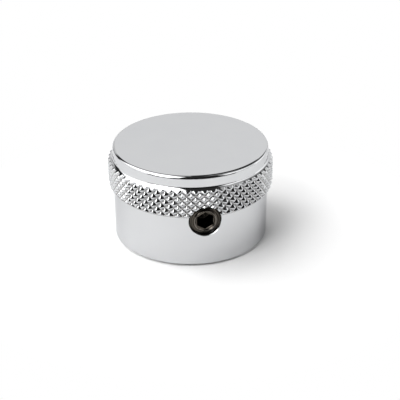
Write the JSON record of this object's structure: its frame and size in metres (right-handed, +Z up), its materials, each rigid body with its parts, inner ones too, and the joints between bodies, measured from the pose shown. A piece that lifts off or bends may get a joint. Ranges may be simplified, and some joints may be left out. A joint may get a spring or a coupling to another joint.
{
  "type": "guitar knob",
  "caption": "Flat-top control knob with a diamond-knurled grip band, a blind shaft bore, a nut recess underneath and a socket set screw in its side.",
  "frame": {"origin": "centre of the knob's base, on the plane of the rim it stands on", "axes": "+Z up along the knob's axis to its flat top, the set screw faces -Y"},
  "size_m": [0.0212, 0.0212, 0.0125],
  "materials": {
    "chrome_plated_brass": "polished chrome plate",
    "black_oxide_steel": "black oxide"
  },
  "bodies": {
    "root": {"knob_body": "chrome_plated_brass", "set_screw": "black_oxide_steel"}
  },
  "joints": []
}
